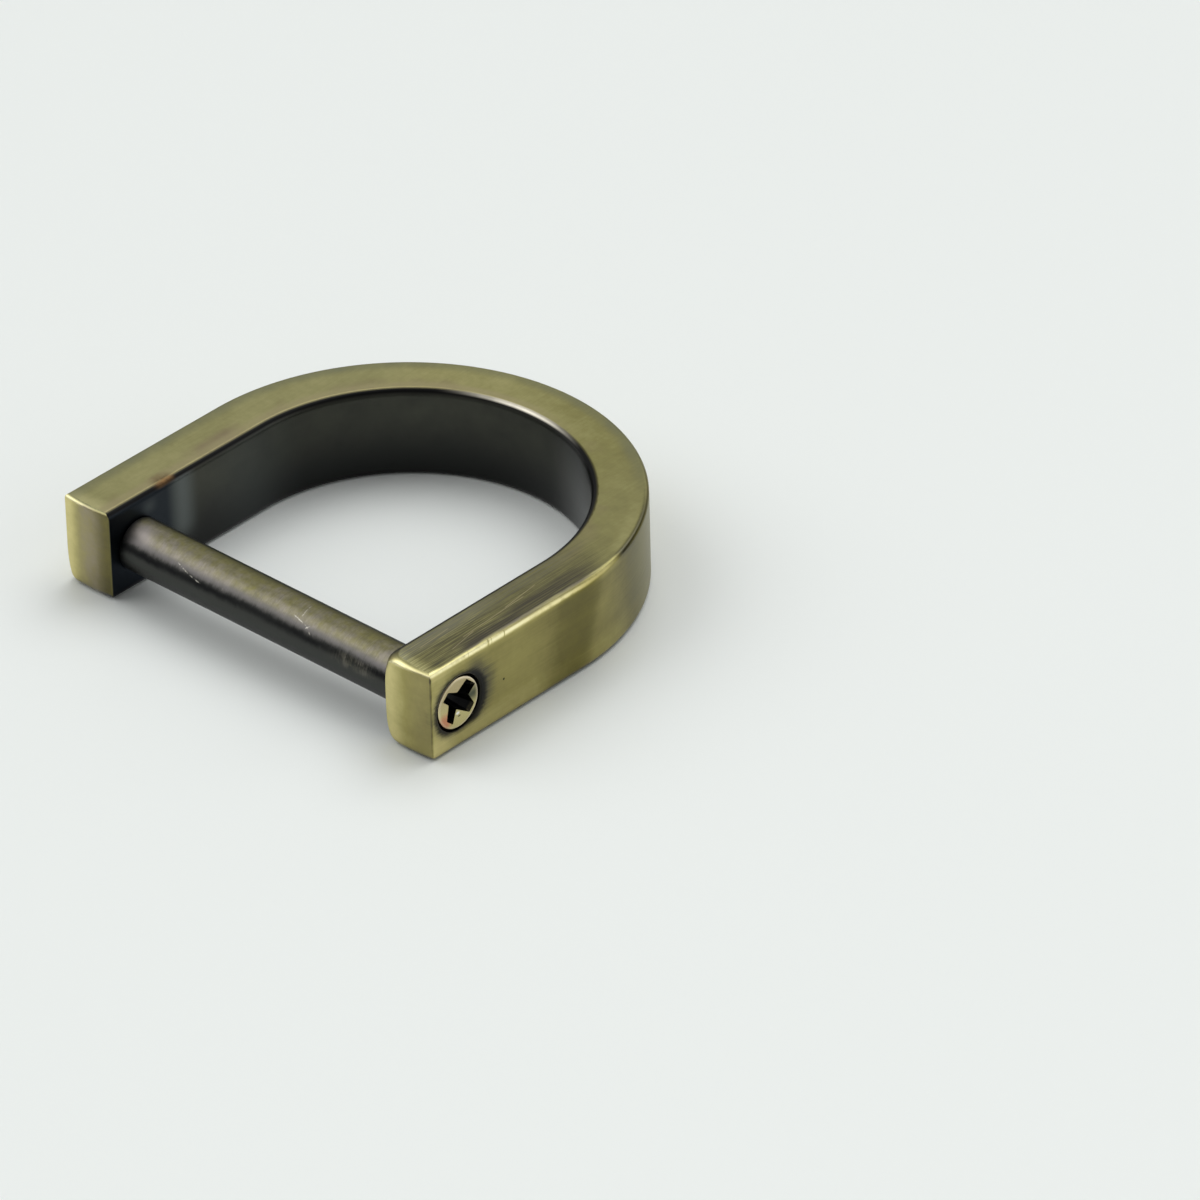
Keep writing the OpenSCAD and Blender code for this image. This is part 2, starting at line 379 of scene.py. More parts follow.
bar = {
    "rim": 0.12,  # rounding of both ends of the shank
    "tipR": 1.45, "tipL": 2.3, "tipRim": 0.3, "tipBevel": 0.06,  # threaded tip, and the taper at its end
    "pitch": 0.5, "groove": 0.24, "threadStart": 0.25, "threadEnd": (0.5, 0.1),  # thread, and where it fades
    "sharpAngle": 40,
    # mouth of the cross recess, from the bar's axis: the two corners of each arm and the web after it
    "cross": ((1.58, 0.72), (0.80, 1.46), (-0.10, 0.84), (-0.93, 1.22), (-1.43, 0.72), (-0.92, 0.26),
              (-1.14, -0.92), (-0.58, -1.39), (-0.24, -0.37), (0.98, -1.20), (1.44, -0.70), (0.92, 0.20)),
    "crossCentre": (-0.12, 0.24), "soften": 0.16, "recessDepth": 1.5,
    # rows of the recess from its point to its mouth: depth and size as shares, and how dark
    "recess": ((1.04, 0, 0.8), (1, 0.22, 0.8), (0.92, 0.45, 0.85), (0.5, 0.8, 1), (0.12, 0.94, 1),
               (0.03, 0.99, 1), (0, 1, 0.4)),
    "columns": 192, "shankRows": 60, "threadRows": 60,
}


def crossOutline():
    # Equal steps along the polygon of the recess's mouth, then a running mean that rounds its corners.
    corners = np.array(bar["cross"] + bar["cross"][:1])
    path = np.concatenate([[0], np.cumsum(np.hypot(*np.diff(corners, axis=0).T))])
    n = bar["columns"]
    at = np.arange(n) / n * path[-1]
    points = np.stack([np.interp(at, path, corners[:, k]) for k in (0, 1)], -1)
    half = max(1, round(bar["soften"] / (path[-1] / n) / 2))
    return sum(np.roll(points, k, axis=0) for k in range(-half, half + 1)) / (2 * half + 1)


def barShell():
    shell = Patchwork(["bore"])
    cross = crossOutline()
    crossTurn = np.unwrap(np.arctan2(cross[:, 1], cross[:, 0]))
    evenTurn = np.arange(len(cross)) * 2 * np.pi / len(cross)
    evenTurn += (crossTurn - evenTurn).mean()

    def place(grid, bore):  # repeats the first column, so that the surface closes
        grid = np.concatenate([grid, grid[:, :1]], axis=1) + np.array([0, barY, barZ])
        turns = np.append(evenTurn, evenTurn[0] + 2 * np.pi)
        shell.add(grid, (turns * barR + 0 * grid[..., 0], grid[..., 0]), {"bore": bore}, flip=True)

    def circles(xs, radii):
        radii = np.broadcast_to(radii, (len(xs), len(evenTurn)))
        sides = radii * np.cos(evenTurn), radii * np.sin(evenTurn)
        return np.stack([np.asarray(xs)[:, None] + 0 * radii, *sides], -1)

    head, shoulder, tipEnd = barHigh[0], barLow[0] + bar["tipL"], barLow[0]
    rim = bar["rim"]
    flatR = barR - rim
    # Recess: the cross outline shrinks with depth towards its own middle and closes in a point.
    depth, scale, dark = np.array(bar["recess"]).T[..., None]
    middle = np.array(bar["crossCentre"])
    cut = middle + scale[..., None] * (cross - middle)
    place(np.dstack([head - depth * bar["recessDepth"] + 0 * cross[:, 0], cut]), dark)
    # Head: the outline's points move out in straight lines to even steps of the rim.
    t = np.array([0, 0.04, 0.2, 0.5, 0.8, 1.0])[:, None, None]
    even = flatR * np.stack([np.cos(evenTurn), np.sin(evenTurn)], -1)
    face = cross * (1 - t) + even * t
    place(np.dstack([np.full(face.shape[:2], head), face]), dark[-1] * (t[:, 0] == 0))
    a = np.linspace(0, np.pi / 2, 7)
    place(circles(head - rim * (1 - np.cos(a)), flatR + rim * np.sin(a)[:, None]), 0.0)
    place(circles(np.linspace(head - rim, shoulder + rim, bar["shankRows"]), barR), 0.0)
    place(circles(shoulder + rim * (1 - np.sin(a)), flatR + rim * np.cos(a)[:, None]), 0.0)
    # Thread: the radius drops by a triangle wave of the way along and the turn, clipped flat at both ends.
    along = np.linspace(0, bar["tipL"] - bar["tipBevel"], bar["threadRows"])[:, None]
    wave = 1 - np.abs(2 * ((along / bar["pitch"] + evenTurn / (2 * np.pi)) % 1) - 1)
    crest = bar["tipR"] - np.clip(along - bar["tipL"] + bar["tipRim"], 0, 1)
    fades, faded = bar["tipL"] - np.array(bar["threadEnd"])
    fade = smooth(0, bar["threadStart"], along) * (1 - smooth(fades, faded, along))
    thread = crest - bar["groove"] * np.clip(1.4 * wave - 0.2, 0, 1) * fade
    place(np.vstack([circles([shoulder], flatR), circles(shoulder - along[:, 0], thread)]), 0.6)
    bevel = circles([shoulder - along[-1, 0]], thread[-1:])
    face = circles([tipEnd, tipEnd], np.array([[crest[-1, 0] - bar["tipBevel"]], [0.0]]))
    place(np.vstack([bevel, face]), 0.6)
    return shell


screwBar = barShell().build("screwBar", bar["sharpAngle"])
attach(screwBar, "bar")
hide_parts("screw_bar")
print("screw bar built")


# Materials

class Signal:
    # A socket of a node tree. Operators on it add Math nodes, so a mask reads as a formula.
    def __init__(self, graph, socket):
        self.graph, self.socket = graph, socket

    def math(self, operation, *values):
        return self.graph.node("ShaderNodeMath", {"operation": operation}, dict(enumerate(values)))

    def __add__(self, other):
        return self.math("ADD", self, other)

    def __sub__(self, other):
        return self.math("SUBTRACT", self, other)

    def __rsub__(self, other):
        return self.math("SUBTRACT", other, self)

    def __mul__(self, other):
        return self.math("MULTIPLY", self, other)

    def __truediv__(self, other):
        return self.math("DIVIDE", self, other)

    def __pow__(self, other):
        return self.math("POWER", self, other)

    __radd__, __rmul__ = __add__, __mul__

    def absolute(self):
        return self.math("ABSOLUTE", self)

    def most(self, other):
        return self.math("MAXIMUM", self, other)

    def least(self, other):
        return self.math("MINIMUM", self, other)

    def clipped(self):
        return self.most(0).least(1)

    def rise(self, low, high):
        # A cubic step from 0 at low to 1 at high. With low above high it falls.
        ends = {0: self, 1: min(low, high), 2: max(low, high), 3: float(low > high), 4: float(low < high)}
        return self.graph.node("ShaderNodeMapRange", {"interpolation_type": "SMOOTHSTEP"}, ends)

    def hump(self, middle, width):
        # 1 at middle, 0 at width to either side.
        return (self - middle).absolute().rise(width, 0)


class Graph:
    # The nodes of a material or of the room.
    def __init__(self, tree):
        self.tree = tree

    def node(self, kind, settings, inputs, output=0):
        made = self.tree.nodes.new(kind)
        for name, value in settings.items():
            if name == "stops":
                stops = made.color_ramp.elements
                while len(stops) < len(value):
                    stops.new(0.5)
                for stop, (place, color) in zip(stops, value):
                    stop.position, stop.color = place, color
            else:
                setattr(made, name, value)
        for key, value in inputs.items():
            if isinstance(value, Signal):
                self.tree.links.new(value.socket, made.inputs[key])
            else:
                made.inputs[key].default_value = value
        return Signal(self, made.outputs[output])

    def split(self, vector):  # its x, y and z
        return (self.node("ShaderNodeSeparateXYZ", {}, {0: vector}, i) for i in range(3))

    def vector(self, x, y, z):
        return self.node("ShaderNodeCombineXYZ", {}, {0: x, 1: y, 2: z})

    def distance(self, x, y):  # from zero, in the plane of two values
        return (x * x + y * y) ** 0.5

    def ramp(self, value, stops):
        return self.node("ShaderNodeValToRGB", {"stops": stops}, {0: value})

    def blend(self, base, other, share, kind="MIX"):
        settings = {"data_type": "RGBA", "blend_type": kind}
        return self.node("ShaderNodeMix", settings, {0: share, 6: base, 7: other}, 2)

    def layers(self, base, *coats):  # each coat is a colour and its share, laid over what is there
        for color, share in coats:
            base = self.blend(base, color, share)
        return base

    def noise(self, place, detail=3.0, roughness=0.55, seed=0.0):
        # Fractal noise about 0, within half a unit to either side, one blob for each unit of place.
        settings = {"noise_dimensions": "4D"}
        inputs = {"Vector": place, "W": seed, "Scale": 1.0, "Detail": detail, "Roughness": roughness}
        return self.node("ShaderNodeTexNoise", settings, inputs) - 0.5


class Metal(Graph):
    # A metal's material, with places in millimetres on the object and on the piece's own map.
    def __init__(self, name):
        self.material = bpy.data.materials.new(name)
        self.material.use_nodes = True
        super().__init__(self.material.node_tree)
        self.shader = self.tree.nodes["Principled BSDF"]
        self.shader.inputs["Metallic"].default_value = 1.0
        place = self.node("ShaderNodeTexCoord", {}, {}, "Object")
        self.place = self.node("ShaderNodeVectorMath", {"operation": "SCALE"}, {0: place, "Scale": 1 / mm})
        self.x, self.y, self.z = self.split(self.place)
        self.along, self.across, _ = self.split(self.node("ShaderNodeUVMap", {"uv_map": "surfaceMap"}, {}))

    def mark(self, name):  # a value stored at the mesh's points
        return self.node("ShaderNodeAttribute", {"attribute_name": name}, {}, "Fac")

    def streaks(self, long, fine, seed=0.0):
        # Noise drawn out along the brushing: long and fine are its lengths along and across, in mm.
        place = self.vector(self.along * (1 / long), self.across * (1 / fine), 0.0)
        return self.noise(place, 2.0, 0.6, seed)

    def mottle(self, size, seed):  # cloudy noise, with blobs of this size in mm
        scaled = self.node("ShaderNodeVectorMath", {"operation": "SCALE"}, {0: self.place, "Scale": 1 / size})
        return self.noise(scaled, seed=seed)

    def scratch(self, a, b, start, end, width):
        # 1 on the straight line between two places (a, b), falling to 0 at width beside it and past its ends
        length = math.dist(start, end)
        alongA, alongB = (end[0] - start[0]) / length, (end[1] - start[1]) / length
        along = (a - start[0]) * alongA + (b - start[1]) * alongB
        aside = (b - start[1]) * alongA - (a - start[0]) * alongB
        return aside.hump(0, width) * (along - length / 2).absolute().rise(length / 2, length / 2 - 4 * width)

    def finish(self, color, roughness, relief, depth):
        # relief is a height from 0 to 1, which the bump draws depth millimetres high
        normal = self.node("ShaderNodeBump", {}, {"Height": relief, "Distance": depth * mm, "Strength": 1.0})
        for name, value in (("Base Color", color), ("Roughness", roughness), ("Normal", normal)):
            self.tree.links.new(value.socket, self.shader.inputs[name])
        return self.material


def tone(r, g, b):  # a linear colour with full alpha
    return (r, g, b, 1.0)


ringFinish = {
    # antique brass from rubbed bright to black, against a value from 0 to 1 that holds tarnish together with
    # painted light and shade
    "tarnishAndPaintedLight": ((0.0, tone(0.68, 0.60, 0.27)), (0.35, tone(0.34, 0.30, 0.106)),
                (0.62, tone(0.165, 0.143, 0.052)), (0.82, tone(0.085, 0.078, 0.048)),
                (1.0, tone(0.008, 0.007, 0.008))),
    "topCast": tone(0.96, 1.02, 1.08),  # multiplies the top face
    # top face: streaks and outer band of the near leg, border and rosy clouds of the arc, paler scratches and
    # line along the far leg's opening, and a stain there
    "legGrey": tone(0.36, 0.36, 0.28), "greyBand": tone(0.092, 0.083, 0.060), "moss": tone(0.25, 0.262, 0.17),
    "rosy": tone(0.30, 0.235, 0.15), "pale": tone(0.46, 0.40, 0.22), "stain": tone(0.16, 0.088, 0.034),
    # side, ends and edges, with the ends' painted reflection grey, the edges' painted highlight and the
    # painted glint at the crown
    "sideWarm": tone(0.20, 0.172, 0.02), "haze": tone(0.050, 0.048, 0.049), "wearAndSheen": tone(0.305, 0.264, 0.187),
    "paintedHighlight": tone(0.86, 0.82, 0.50), "brink": tone(0.010, 0.010, 0.010), "glint": tone(0.68, 0.64, 0.54),
    # walls of the opening, with the painted reflections on them
    "wallHigh": tone(0.062, 0.063, 0.051), "wallLow": tone(0.027, 0.028, 0.027),
    "blueReflection": tone(0.12, 0.133, 0.130), "navyReflection": tone(0.012, 0.018, 0.028),
    "paleReflection": tone(0.185, 0.188, 0.188),
    "roughness": 0.34, "wallRoughness": 0.38, "relief": 0.003,
    # scratches on the top of the leg with the screw head: x and y of both ends
    "scratches": (((15.02, -10.7), (14.69, -4.5)), ((15.5, -12.2), (15.05, -9.6)),
                  ((14.3, -3.0), (14.7, -6.4)), ((13.6, -10.4), (13.8, -13.4))),
    # nicks in the edge beside it: place along the leg, half width and strength
    "nicks": ((-13.72, 0.15, 1.0), (-13.4, 0.07, 0.7), (-12.2, 0.1, 1.0), (-15.6, 0.07, 0.6)),
    # single marks: the stain and the dark corner by their x and y, the small pit by its y and z
    "stainAt": (-13.0, -9.9), "cornerAt": (16.575, -15.325), "pitAt": (-8.6, 3.15),
}


def brushedBrass():
    metal = Metal("brushedBrass")
    f = ringFinish
    x, y, z = metal.x, metal.y, metal.z
    inner, top, end, edge, under = (metal.mark(name) for name in ("inner", "top", "end", "edge", "under"))
    across, brink = metal.mark("across"), metal.mark("brink")
    fine = metal.streaks(4.0, 0.05)
    coarse = metal.streaks(7.0, 0.2, seed=3.0)
    grain = metal.streaks(3.2, 0.1, seed=11.0)
    cloud = metal.mottle(2.2, seed=5.0)
    grit = metal.mottle(0.35, seed=7.0)
    blotch = metal.mottle(0.9, seed=9.0)
    drift = metal.mottle(4.0, seed=13.0)
    side = (1 - top) * (1 - end) * (1 - inner)
    onNear, onFar, onArc = x.rise(6.0, 11.0), x.rise(1, -1), x.rise(6.0, 10.0)
    headSide = x.rise(15.9, 16.3)

    # Top face: even olive on the arc with painted light along its outer rim, paler along the far leg's
    # opening, greyer and streaked on the near leg
    nearLeg = x.rise(8.0, 13.0) * y.rise(5.0, -2.0) * top
    brushedLeg = nearLeg * y.rise(-6.0, -9.0)
    outerBand = ((across - (y + 11) * 0.013 + coarse * 0.3).rise(0.38, 0.12) * nearLeg
                 * y.rise(-13.0, -10.8) * y.rise(2.8, -0.6) * (0.85 + coarse * 1.6 + grain * 1.6).clipped())
    innerStrip = across.rise(0.5, 0.85) * nearLeg * (0.16 + y.rise(-5.0, -8.5) * 0.22 + grain * 1.6)
    farBand = across.rise(0.72, 0.9) * x.rise(6.0, -4.0) * top
    outerBorder = across.rise(0.32, 0.02) * x.rise(13.0, 8.0) * top
    # painted light along the outer rim of the arc's top
    paintedRimLight = across.rise(0.35, 0.1) * y.rise(-0.5, 2.2) * y.rise(9.5, 6.5) * x.rise(8.0, 11.0)
    topTarnishAndPaintedLight = (0.24 + x.rise(-8.0, 10.0) * 0.135 + nearLeg * (0.125 + y.rise(-8.0, -5.0) * 0.03)
                  + outerBorder * 0.08 - paintedRimLight * 0.08 - y.rise(-13.9, -15.1) * (0.21 + nearLeg * 0.14)
                  + coarse * (0.08 + nearLeg * 0.32) + fine * (0.08 + nearLeg * 0.4)
                  + grain * (0.04 + nearLeg * 0.4 + brushedLeg * 0.9)
                  + cloud * 0.18 + drift * 0.14 + blotch * 0.16 + grit * 0.1)

    # Outer side: yellow at the end of the leg, then a brown band that is a painted reflection of a dark
    # thing, and painted shade along the arc, which is browner again
    bandY = y + cloud * 1.6 - (z - 3.0) * 0.25
    # painted reflection of a dark thing: a brown upright band where the leg turns into the arc
    paintedReflectionBand = bandY.rise(-5.0, -1.4) * bandY.rise(0.7, -1.0) * onNear
    arcEdge = y.rise(2.4, 4.0) * y.rise(11.0, 7.0) * onArc
    # along the arc the side darkens, as painted shade
    byLength = (y.rise(-7.0, -3.0) * (0.04 + onNear * 0.08) - y.rise(-12.5, -14.5) * 0.15 + paintedReflectionBand * 0.19
                + (y.rise(2.5, 6.0) * 0.155 + y.rise(3.0, 5.5) * 0.11 - y.hump(1.3, 1.9) * 0.045) * onNear)
    # lighter just under the top edge, as part of the edge's painted highlight, and lighter near the floor, as
    # painted light against the shade there
    byHeight = (z.rise(4.2, 5.6) * 0.05 - z.rise(5.9, 6.3) * 0.12 + z.rise(5.9, 6.5) * arcEdge * 0.3
                - z.rise(2.4, 1.0) * (0.12 + y.rise(-9.0, -12.0) * 0.05))
    sideTarnishAndPaintedLight = (0.39 + byLength + byHeight + drift * (1 - onNear) * 0.3
                   + coarse * 0.10 + cloud * 0.14 + fine * 0.08 + blotch * 0.13 + grit * 0.05)

    # Ends: painted reflection, bright towards one side and greyer across the rest, and lighter low on the
    # near end
    fromLeft = (x - innerR) * x.rise(0, 1) + (x + outerR) * x.rise(1, 0)
    endTarnishAndPaintedLight = (0.08 - onFar * 0.03 + (fromLeft * (1 + onFar * 0.35)).rise(0.4, 2.2) * 0.3
                  + fromLeft.rise(1.6, 3.6) * (0.06 + onFar * 0.27) - z.rise(2.0, 0.8) * (1 - onFar) * 0.08
                  + coarse * 0.05 + cloud * 0.16 + blotch * 0.16 + grit * 0.1)
    endReflectionGrey = fromLeft.hump(2.3, 1.6) * onFar * end * (0.75 + blotch * 1.6).clipped()

    # Dark patina round the screw head: a black rim, thickest towards the arc, and a grey haze beyond it
    fromAxisY, fromAxisZ = y - barY, z - barZ
    fromAxis = metal.distance(fromAxisY, fromAxisZ)
    toArc, upward = fromAxisY / fromAxis.most(0.5), fromAxisZ / fromAxis.most(0.5)
    rimWidth = toArc.rise(0.25, 0.9) * 0.2 - upward.rise(-0.7, -0.95) * 0.16
    ragged = fromAxis - coarse * 0.3 - blotch * 0.2 - grit * 0.15
    blackRim = (ragged - rimWidth).rise(2.56, 2.1) * headSide
    leftShade = ragged.rise(2.85, 2.1) * toArc.rise(0.0, -0.7) * 0.75
    haze = metal.distance(fromAxisY - 0.7, fromAxisZ - 0.3) - coarse * 0.8 - cloud * 0.6 - grain * 0.7
    haze = (haze.rise(3.1, 1.55) * toArc.rise(0.15, 0.7)).most(leftShade) * headSide
    pitY, pitZ = f["pitAt"]
    pit = metal.distance(y - pitY, z - pitZ).rise(0.12, 0.04) * headSide

    # Edges: rubbed bright along the legs with a painted highlight line on the rubbed part, nicks where
    # something knocked them, brown and dull on the arc
    slant = y - z * 0.6
    nicks = sum(slant.hump(at, width) * depth for at, width, depth in f["nicks"]).least(1)
    wornTo = edge + 0.18 + y.rise(-10.0, -7.0) * y.rise(1.5, -1.5) * 0.14 - coarse * 0.3
    wear = edge.rise(0.05, 0.3) * wornTo.rise(0.98, 0.72) * (1 - inner)
    wear = wear * (0.85 + coarse * 1.3 + blotch * 1.2 + grit * 1.2).clipped()
    wear = wear * (1 - y.rise(-2.0, 2.5) * 0.6) * (1 - y.rise(1.5, 3.4) * 0.85)
    wear = wear * (1 - nicks * headSide * 0.92) * (1 - x.rise(-13.5, -15.5) * y.rise(-15.1, -14.8))
    wear = wear * (1 - y.rise(-15.0, -15.25) * fromLeft.rise(1.0, 3.2) * (0.45 + onFar * 0.4))
    # painted highlight: a pale line along the rubbed edge
    paintedHighlight = wear * edge.hump(0.42, 0.36) * y.rise(-0.5, -3.0) * (0.9 - y.rise(-8.0, -4.5) * 0.5)
    brownEdge = edge.rise(0.0, 0.3) * edge.rise(1.06, 0.98) * arcEdge
    duller = edge.hump(0.85, 0.35) * y.rise(0.4, 1.8) * y.rise(4.2, 3.0) * onArc
    cornerX, cornerY = f["cornerAt"]
    cornerLine = metal.distance(x - cornerX, y - cornerY).rise(0.11, 0.03) * (0.75 + blotch * 1.8).most(0)
    # tarnish with the painted light and shade of every face, less where the edges are rubbed
    tarnishAndPaintedLight = (topTarnishAndPaintedLight * top + sideTarnishAndPaintedLight * side + endTarnishAndPaintedLight * end) * (1 - wear)
    tarnishAndPaintedLight = (tarnishAndPaintedLight + under.rise(0.0, 0.7) * 0.45 + duller * 0.13
               + brownEdge * (0.31 + edge.rise(0.45, 0.8) * 0.18 + coarse * 0.5)
               + cornerLine * (0.36 + z.hump(6.3, 0.3) * 0.4))

    # Walls of the opening: almost black, with an olive cast higher up, painted blue-grey and navy reflections
    # by the far leg, a painted pale reflection by the crown and a painted glint along its inner edge
    farWall = x.rise(-11.9, -12.4)
    # painted highlight: a glint along the crown's inner edge
    glint = x.hump(-0.8, 6.3) * y.rise(8.0, 10.0) * (1 + cloud * 1.5).clipped() * brink.rise(0.4, 0.65)
    wall = metal.layers(
        f["wallLow"],
        (f["wallHigh"], z.rise(1.0, 5.5) * (0.8 + cloud)),
        # painted reflections: navy, pale and blue-grey zones on the walls
        (f["navyReflection"], farWall * y.rise(-8.0, -10.0) * 0.8),
        (f["paleReflection"], x.rise(1.5, 7.0) * y.rise(7.0, 10.5) * 0.85),
        (f["blueReflection"], farWall * y.hump(-8.5, 1.6) * z.rise(1.0, 3.0) * 0.85),
        (f["blueReflection"], farWall * y.hump(-11.6, 1.0) * z.hump(5.6, 0.8) * 0.3),
        (f["blueReflection"], x.rise(-10.5, -12.4) * y.hump(-2.0, 5.0) * 0.2),
        (f["brink"], (z + cloud).rise(5.3, 6.0) * x.rise(5.5, 8.0) * y.rise(1.0, 3.0) * 0.9),
        (metal.blend(f["brink"], f["glint"], glint), brink.rise(0.15, 0.5)))
    dark = (inner + metal.mark("bore")).least(1)

    # All together: brass by its tarnish and painted light, the casts and marks of its faces with the painted
    # ones, and the walls over them
    greyShare = outerBand * 0.74 + nearLeg * y.rise(-15.0, -13.8) * (0.22 + grain * 0.8)
    rosyShare = across.rise(0.5, 0.8) * top * (1 - nearLeg) * (drift * 3 + 0.1)
    scratches = sum(metal.scratch(x, y, *ends, 0.05) for ends in f["scratches"])
    stainX, stainY = f["stainAt"]
    stain = metal.distance(x - stainX, (y - stainY) * 0.8).rise(1.0, 0.1)
    stain = stain * z.rise(6.3, 6.6) * (0.65 + blotch * 2)
    brass = metal.ramp(tarnishAndPaintedLight, f["tarnishAndPaintedLight"])
    color = metal.layers(
        metal.blend(brass, f["topCast"], top, "MULTIPLY"),
        (f["legGrey"], innerStrip.most(0) + x.rise(6.0, 12.0) * top * 0.07),
        (f["greyBand"], greyShare.most(0) * (1 - wear)),
        (f["moss"], outerBorder * (0.4 + cloud) + x.rise(-8.0, -12.0) * top * 0.16),
        # warm brown of the painted shade along the arc and of the painted reflection band
        (f["sideWarm"], side * (y.rise(2.5, 7.0) * onNear * 0.6 + paintedReflectionBand * 0.3)),
        (f["rosy"], rosyShare.clipped()),
        (f["paintedHighlight"], paintedHighlight),
        # painted reflection: the greyer parts of the ends
        (f["wearAndSheen"], endReflectionGrey + fromLeft.rise(1.6, 3.2) * (1 - onFar) * end * 0.16),
        (f["haze"], haze * 0.92),
        (f["brink"], blackRim * 0.9),
        (f["pale"], farBand * (0.6 + cloud)),
        (f["pale"], scratches.least(1) * top * 0.7),
        (wall, dark),
        (f["stain"], stain.most(0)),
        (f["brink"], pit))
    roughness = f["roughness"] + fine * 0.12 + coarse * 0.05 + dark * (f["wallRoughness"] - f["roughness"])
    return metal.finish(color, roughness, fine + coarse * 0.6 + grit * 0.3 - scratches, f["relief"])


barFinish = {
    # shank, with the painted light at its far end
    "rubbed": tone(0.198, 0.185, 0.074), "lilac": tone(0.25, 0.228, 0.19), "wearAndSheen": tone(0.146, 0.139, 0.141),
    "paintedLightEnd": tone(0.36, 0.33, 0.32), "scratch": tone(0.5, 0.48, 0.42),
    "dark": tone(0.05, 0.052, 0.048), "black": tone(0.012, 0.012, 0.013),
    # head, with painted highlights on its rim and on a burr, and painted shade on a cut web
    "headHigh": tone(0.46, 0.38, 0.21), "headLow": tone(0.60, 0.53, 0.25), "rimHighlight": tone(0.8, 0.7, 0.52),
    "flush": tone(0.60, 0.22, 0.13), "web": tone(0.06, 0.07, 0.05), "burrHighlight": tone(0.95, 0.93, 0.85),
    "roughness": 0.42, "headRoughness": 0.24, "relief": 0.002,
    # scratches, as the place along the bar and the angle above the front, for both ends
    "scratches": (((2.9, 54), (4.3, 44)), ((4.3, 44), (4.9, 30)), ((3.5, 92), (3.6, 56)),
                  ((4.2, 36), (4.6, 48)), ((-7.4, 43), (-6.2, 31)), ((-6.2, 31), (-5.0, 24)),
                  ((-3.2, 40), (-3.15, 30))),
}


def turnedBrass():
    metal = Metal("turnedBrass")
    f = barFinish
    x, around = metal.x, metal.along
    up, front = (metal.z - barZ) / barR, (barY - metal.y) / barR
    rings = metal.noise(metal.vector(x * 11, around * 0.9, 0.0), 2.5, 0.6, 1.0)
    bands = metal.noise(metal.vector(x * 1.3, around * 0.3, 0.0), 2.0, 0.6, 2.0)
    cloud = metal.mottle(0.55, seed=4.0)
    drift = metal.mottle(2.6, seed=6.0)
    grit = metal.mottle(0.22, seed=8.0)
    ragged = rings * 0.06 + cloud * 0.22 + drift * 0.2
    onFront = front.rise(0, 0.3)

    # Shank: rubbed over the top in olive and lilac patches, then a worn band, a black line of painted dark
    # reflection, dark grey below, and painted light at the end by the far leg, which shades it
    # more lilac towards the far leg, part of the painted light there
    lilacShare = 0.2 + front * 0.7 + x.rise(-9.5, -11.5) * 0.6 + cloud * 1.7 + drift * 1.6 + rings * 0.5
    olive = metal.blend(f["rubbed"], f["lilac"], lilacShare.clipped())
    share = (0.86 + rings * 0.6 + bands * 0.6 + grit * 0.7) * x.rise(-12.5, -11.9)
    rubbed = (up + ragged).rise(0.46, 0.80) * (front + cloud * 0.1).rise(-0.52, -0.3) * share
    lowPatch = x.hump(9.0, 3.0) * up.hump(0.32, 0.4) * onFront * (0.3 + rings * 1.5 + cloud * 2).most(0)
    # painted reflection: the black line along the front
    black = (up + ragged * 0.8).hump(0.38, 0.24) * onFront * (0.82 + drift - lowPatch).clipped()
    lines = [[(at, (math.pi - math.radians(angle)) * barR) for at, angle in ends] for ends in f["scratches"]]
    bent = x + grit * 0.25
    scratches = sum(metal.scratch(bent, around, *ends, 0.06) for ends in lines) * (0.5 + grit * 5).most(0)
    shank = metal.layers(
        f["dark"],
        (olive, rubbed.most(lowPatch.least(0.6))),
        (f["wearAndSheen"], (up + ragged * 0.7).hump(0.64, 0.2) * onFront * share * 0.8),
        # painted light at the end by the far leg, lighter against the shade there
        (f["paintedLightEnd"], x.hump(-11.2, 1.8) * up.hump(0.85, 0.35) * front.rise(-0.1, 0.3) * 0.6),
        (f["black"], black),
        (f["scratch"], scratches.least(1)))

    # Head: browner above, yellow below, flushed red at the lower left, with a painted highlight on its rim,
    # painted shade on a web cut to a slope, and a painted highlight on a burr
    right, above = metal.y - barY, metal.z - barZ
    # painted highlight on the rim, stronger to the right
    rimHighlightShare = metal.distance(right, above).rise(1.62, 1.78) * (0.3 + right.rise(-0.5, 1.0) * 0.5)
    head = metal.layers(
        f["headLow"],
        (f["headHigh"], above.rise(-0.6, 1.2) + cloud * 0.3),
        (f["flush"], metal.distance(right + 1.35, above + 0.95).rise(0.95, 0.25) * 0.85),
        (f["rimHighlight"], rimHighlightShare),
        # painted shade on the web between two arms, where it is cut to a slope
        (f["web"], right.rise(0.6, 0.8) * above.hump(0.1, 0.95) * right.rise(1.95, 1.45) * 0.95),
        # painted highlight on a burr
        (f["burrHighlight"], metal.distance(right + 0.1, (above + 0.74) * 1.5).rise(0.22, 0.1)),
        (f["black"], metal.distance(right - 0.02, (above + 1.0) * 1.9).rise(0.17, 0.08) * 0.8))
    onHead = x.rise(16.2, 16.35)
    recess = metal.mark("bore") * (0.88 + cloud * 0.8).least(0.97)
    color = metal.layers(shank, (head, onHead), (f["black"], recess))
    roughness = f["roughness"] + rings * 0.06 + grit * 0.1 + onHead * (f["headRoughness"] - f["roughness"])
    return metal.finish(color, roughness, (rings + grit * 0.3) * (1 - onHead), f["relief"])


ringFrame.data.materials.append(brushedBrass())
screwBar.data.materials.append(turnedBrass())
print("finishes made")


# Floor, room light and camera

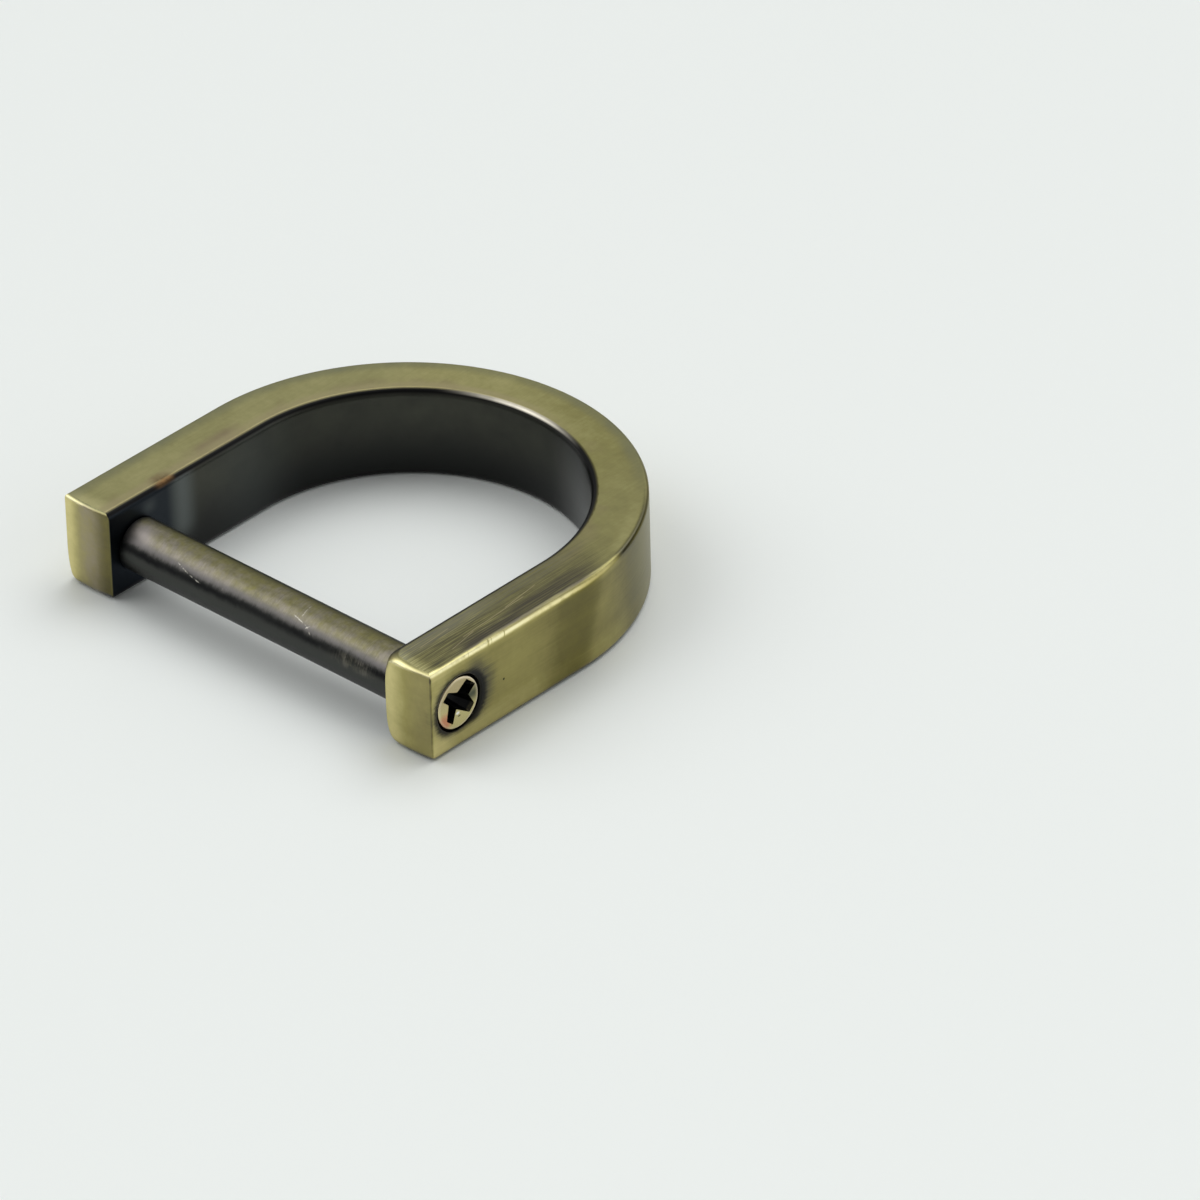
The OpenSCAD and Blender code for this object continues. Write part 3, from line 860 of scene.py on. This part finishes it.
studio = {
    "floorHalf": 3.0, "floorColor": tone(0.85, 0.885, 0.862), "floorRoughness": 0.45,
    "roomColor": tone(1, 1, 1), "roomLight": 0.334,
    # soft lights of the room: direction, cosine where each begins and is full, radiance
    "lights": (((-0.05, 0.47, 0.88), 0.84, 0.96, 2.28), ((-0.62, -0.40, 0.68), 0.82, 0.96, 1.6),
               ((0.74, 0.58, 0.33), 0.90, 0.97, 1.0)),
}

floorMesh = bpy.data.meshes.new("floor")
half = studio["floorHalf"]
corners = [(-half, -half, 0), (half, -half, 0), (half, half, 0), (-half, half, 0)]
floorMesh.from_pydata(corners, [], [(0, 1, 2, 3)])
floor = bpy.data.objects.new("floor", floorMesh)
bpy.context.scene.collection.objects.link(floor)
floorMaterial = bpy.data.materials.new("paleFloor")
floorMaterial.use_nodes = True
floorShader = floorMaterial.node_tree.nodes["Principled BSDF"]
floorShader.inputs["Base Color"].default_value = studio["floorColor"]
floorShader.inputs["Roughness"].default_value = studio["floorRoughness"]
floorMesh.materials.append(floorMaterial)

world = bpy.data.worlds.new("studioRoom")
world.use_nodes = True
room = Graph(world.node_tree)
direction = room.node("ShaderNodeTexCoord", {}, {}, "Generated")
light = studio["roomLight"]
for aim, low, high, strength in studio["lights"]:
    toward = tuple(Vector(aim).normalized())
    settings = {"operation": "DOT_PRODUCT"}
    facing = room.node("ShaderNodeVectorMath", settings, {0: direction, 1: toward}, "Value")
    light = facing.rise(low, high) * strength + light
background = world.node_tree.nodes["Background"]
background.inputs["Color"].default_value = studio["roomColor"]
world.node_tree.links.new(light.socket, background.inputs["Strength"])
bpy.context.scene.world = world

view = {  # in metres and degrees, the lens and the sensor in millimetres
    "place": (0.420036, -0.422723, 0.387005), "turn": (56.81343, 1.27413, 42.79004),
    "lens": 322.889, "sensor": 36.0, "clip": (0.01, 20),
}
cameraData = bpy.data.cameras.new("camera")
cameraData.lens, cameraData.sensor_width = view["lens"], view["sensor"]
cameraData.sensor_fit = "HORIZONTAL"
cameraData.clip_start, cameraData.clip_end = view["clip"]
camera = bpy.data.objects.new("camera", cameraData)
camera.location = view["place"]
camera.rotation_euler = Euler([math.radians(v) for v in view["turn"]])
bpy.context.scene.collection.objects.link(camera)
bpy.context.scene.camera = camera
bpy.context.scene.view_settings.view_transform = "Standard"
print("room and camera set")
